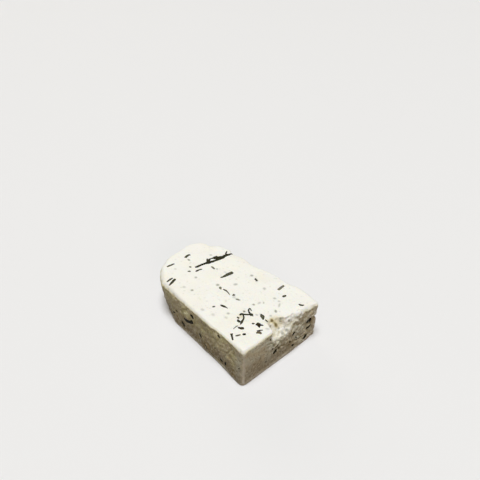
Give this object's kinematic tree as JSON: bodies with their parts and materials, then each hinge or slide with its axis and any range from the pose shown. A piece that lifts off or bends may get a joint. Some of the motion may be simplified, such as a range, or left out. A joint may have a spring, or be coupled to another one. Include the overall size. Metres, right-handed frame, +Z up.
{
  "type": "herbed feta cheese block",
  "caption": "Block of white brined cheese flecked with chopped herbs, with three cut faces, one rounded moulded end and a crumbled top edge.",
  "frame": {"origin": "on the flat face that the block rests on, under the middle of its bounding box", "axes": "+Z up out of the resting face, +X along the length towards the crumbly cut end, -Y out of the straight long side"},
  "size_m": [0.119, 0.0718, 0.0311],
  "materials": {
    "cheese": "moist, fine-grained white curd, soft sheen",
    "herb": "dull dark green chopped leaf and stem"
  },
  "bodies": {
    "root": {"cheese_block": "cheese"}
  },
  "joints": []
}
